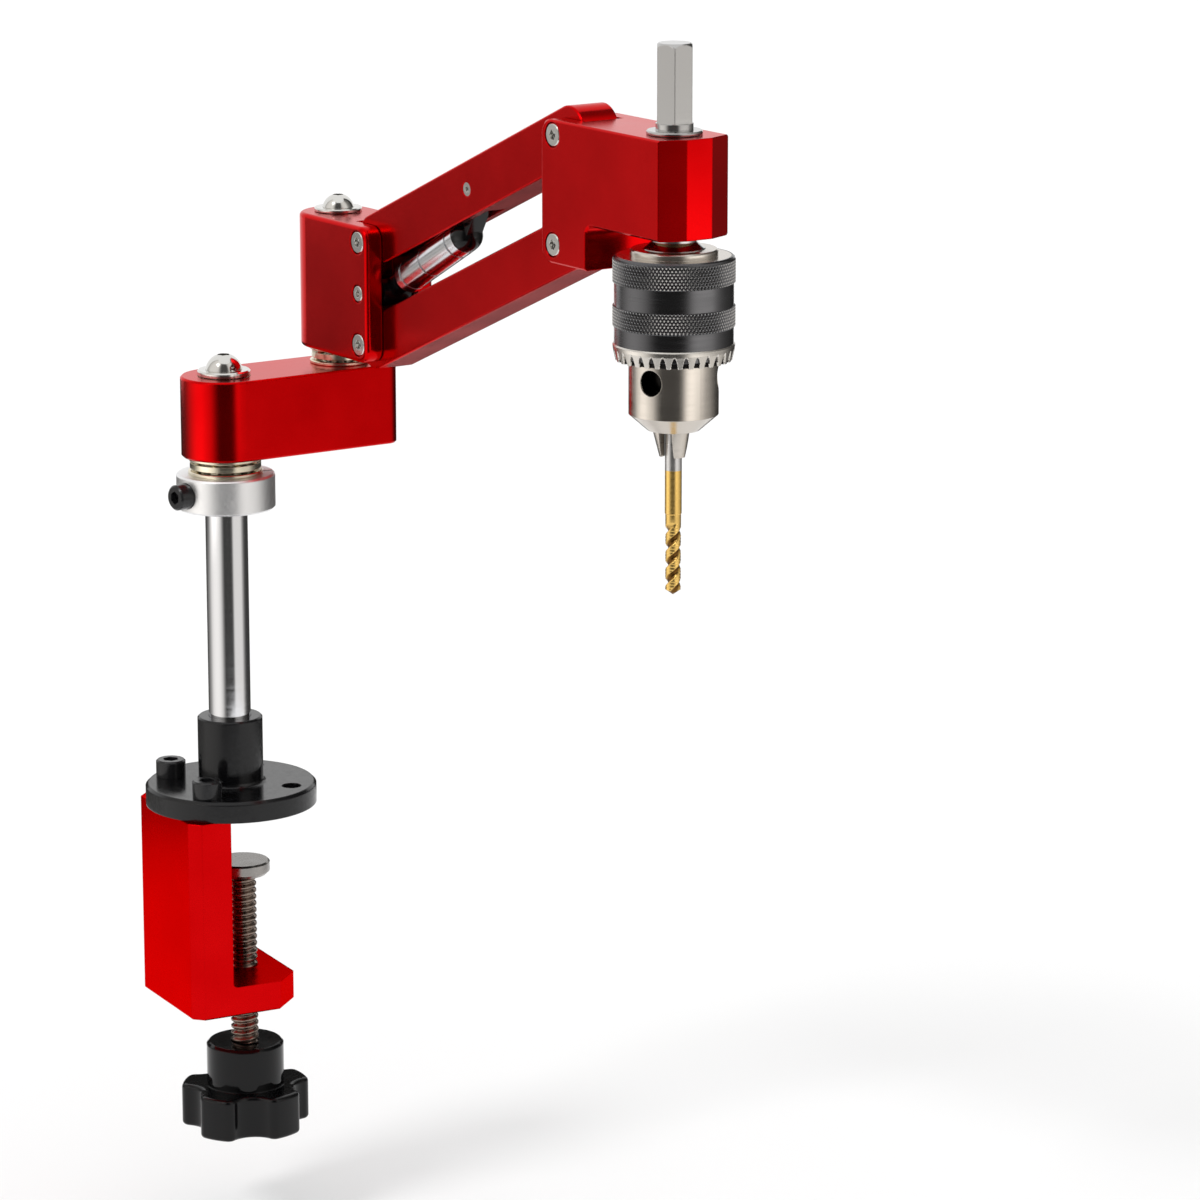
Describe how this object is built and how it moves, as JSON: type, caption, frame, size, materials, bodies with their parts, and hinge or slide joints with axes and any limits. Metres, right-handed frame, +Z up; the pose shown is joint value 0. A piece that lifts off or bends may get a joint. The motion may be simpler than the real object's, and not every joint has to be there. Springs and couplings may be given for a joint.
{
  "type": "arm tapping machine",
  "caption": "Bench tapping arm: a table clamp with a column, a swinging lower arm and a parallel-link arm with gas strut that keeps a chuck and tap bit upright.",
  "frame": {"origin": "on the column's axis, on the underside of the flange, where it rests on the table top", "axes": "+Z up along the column; +X from the clamp's back wall in over the table; +Y to the left seen from the back wall"},
  "size_m": [0.0969, 0.2006, 0.3303],
  "materials": {
    "red_anodised": "deep red anodised aluminium, fine satin with a soft sheen",
    "flange_black": "satin black coated steel",
    "black_oxide": "blackened steel of the socket screws",
    "column_chrome": "hard chromed ground shaft",
    "collar_silver": "matte silver anodised aluminium",
    "bearing_brass": "bright steel races with a straw tint",
    "bush_bronze": "oiled bronze bushes",
    "screw_steel": "polished steel screws, washers and pins",
    "strut_silver": "polished cylinder and rod of the gas strut",
    "strut_black": "glossy black end fittings of the gas strut",
    "spindle_steel": "polished steel spindle with its hexagon shank",
    "chuck_dark": "dark gunmetal, knurled bands and a bright toothed edge",
    "chuck_nickel": "satin nickel with turned brushing",
    "bit_gold": "gold titanium nitride coating, bare steel at the shank",
    "screw_bronze": "oiled dark steel screw thread",
    "pad_steel": "plain turned steel pad",
    "knob_black": "glossy black moulded knob"
  },
  "bodies": {
    "base": {"clamp_frame": "red_anodised", "flange_base": "flange_black", "flange_screws": "black_oxide", "column_bolt": "black_oxide", "column": "column_chrome", "shaft_collar": "collar_silver", "collar_screw": "black_oxide", "shoulder_race_lower": "bearing_brass", "shoulder_ball_cage": "bearing_brass", "column_washer": "screw_steel", "column_screw": "screw_steel"},
    "lower_arm": {"lower_arm": "red_anodised", "lower_arm_bush": "bush_bronze", "shoulder_race_upper": "bearing_brass", "pivot_shaft": "column_chrome", "elbow_race_lower": "bearing_brass", "elbow_ball_cage": "bearing_brass", "elbow_washer": "screw_steel", "elbow_screw": "screw_steel"},
    "pivot_block": {"pivot_block": "red_anodised", "elbow_bush": "bush_bronze", "elbow_race_upper": "bearing_brass", "block_upper_pin": "screw_steel", "block_lower_pin": "screw_steel", "strut_lower_pin": "screw_steel"},
    "upper_link": {"upper_link": "red_anodised", "strut_upper_screw": "screw_steel"},
    "lower_link": {"lower_link": "red_anodised"},
    "strut_cylinder": {"strut_cylinder": "strut_silver", "strut_upper_end": "strut_black"},
    "strut_rod": {"strut_rod": "strut_silver", "strut_lower_end": "strut_black"},
    "head": {"head_block": "red_anodised", "head_upper_pin": "screw_steel", "head_lower_pin": "screw_steel", "spindle_bushes": "bush_bronze"},
    "spindle": {"spindle": "spindle_steel", "spindle_ring": "spindle_steel", "chuck_body": "chuck_nickel", "tap_bit": "bit_gold"},
    "chuck_sleeve": {"chuck_sleeve": "chuck_dark", "chuck_nut": "chuck_dark"},
    "jaw_1": {"chuck_jaw_1": "chuck_nickel"},
    "jaw_2": {"chuck_jaw_2": "chuck_nickel"},
    "jaw_3": {"chuck_jaw_3": "chuck_nickel"},
    "clamp_pad": {"clamp_pad": "pad_steel"},
    "clamp_screw": {"clamp_screw": "screw_bronze", "clamp_knob": "knob_black"}
  },
  "joints": [
    {"name": "shoulder_swivel", "type": "hinge", "parent": "base", "child": "lower_arm", "pos_m": [0, 0, 0.1015], "axis": [0, 0, 1], "continuous": true},
    {"name": "elbow_swivel", "type": "hinge", "parent": "lower_arm", "child": "pivot_block", "pos_m": [0.03783, 0.00364, 0.1295], "axis": [0, 0, 1], "range_deg": [-55, 232]},
    {"name": "arm_lift", "type": "hinge", "parent": "pivot_block", "child": "upper_link", "pos_m": [0.04094, -0.02368, 0.1635], "axis": [-0.9936, -0.1132, 0], "range_deg": [-24, 12]},
    {"name": "head_level", "type": "hinge", "parent": "upper_link", "child": "head", "pos_m": [0.05198, -0.12063, 0.20492], "axis": [-0.9936, -0.1132, 0], "range_deg": [-13, 25]},
    {"name": "lower_link_lift", "type": "hinge", "parent": "pivot_block", "child": "lower_link", "pos_m": [0.04094, -0.02368, 0.1345], "axis": [-0.9936, -0.1132, 0], "range_deg": [-25, 13]},
    {"name": "strut_top_pivot", "type": "hinge", "parent": "upper_link", "child": "strut_cylinder", "pos_m": [0.04641, -0.0717, 0.18401], "axis": [-0.9936, -0.1132, 0], "range_deg": [-3, 4]},
    {"name": "strut_bottom_pivot", "type": "hinge", "parent": "pivot_block", "child": "strut_rod", "pos_m": [0.04094, -0.02368, 0.149], "axis": [-0.9936, -0.1132, 0], "range_deg": [-25, 13]},
    {"name": "spindle_spin", "type": "hinge", "parent": "head", "child": "spindle", "pos_m": [0.05649, -0.16017, 0.18292], "axis": [0, 0, 1], "continuous": true},
    {"name": "sleeve_turn", "type": "hinge", "parent": "spindle", "child": "chuck_sleeve", "pos_m": [0.05649, -0.16017, 0.15182], "axis": [0, 0, 1], "range_deg": [0, 2875.1]},
    {"name": "jaw_1_slide", "type": "slide", "parent": "spindle", "child": "jaw_1", "axis": [0, -0.2504, 0.9681], "range_m": [0, 0.01118]},
    {"name": "jaw_2_slide", "type": "slide", "parent": "spindle", "child": "jaw_2", "axis": [0.2168, 0.1252, 0.9681], "range_m": [0, 0.01118]},
    {"name": "jaw_3_slide", "type": "slide", "parent": "spindle", "child": "jaw_3", "axis": [-0.2168, 0.1252, 0.9681], "range_m": [0, 0.01118]},
    {"name": "clamp_slide", "type": "slide", "parent": "base", "child": "clamp_pad", "axis": [0, 0, 1], "range_m": [-0.027, 0.0143]},
    {"name": "clamp_turn", "type": "hinge", "parent": "clamp_pad", "child": "clamp_screw", "pos_m": [0.003, 0, -0.022], "axis": [0, 0, 1], "range_deg": [-4862, 2576]}
  ],
  "couplings": [
    {"joint": "head_level", "follows": "arm_lift", "ratio": -1},
    {"joint": "lower_link_lift", "follows": "arm_lift", "ratio": 1},
    {"joint": "strut_top_pivot", "follows": "arm_lift", "ratio": -0.09},
    {"joint": "strut_bottom_pivot", "follows": "arm_lift", "ratio": 0.91},
    {"joint": "jaw_1_slide", "follows": "sleeve_turn", "m_per_rad": 0.00022282},
    {"joint": "jaw_2_slide", "follows": "sleeve_turn", "m_per_rad": 0.00022282},
    {"joint": "jaw_3_slide", "follows": "sleeve_turn", "m_per_rad": 0.00022282},
    {"joint": "clamp_turn", "follows": "clamp_slide", "rad_per_m": 3141.6}
  ]
}
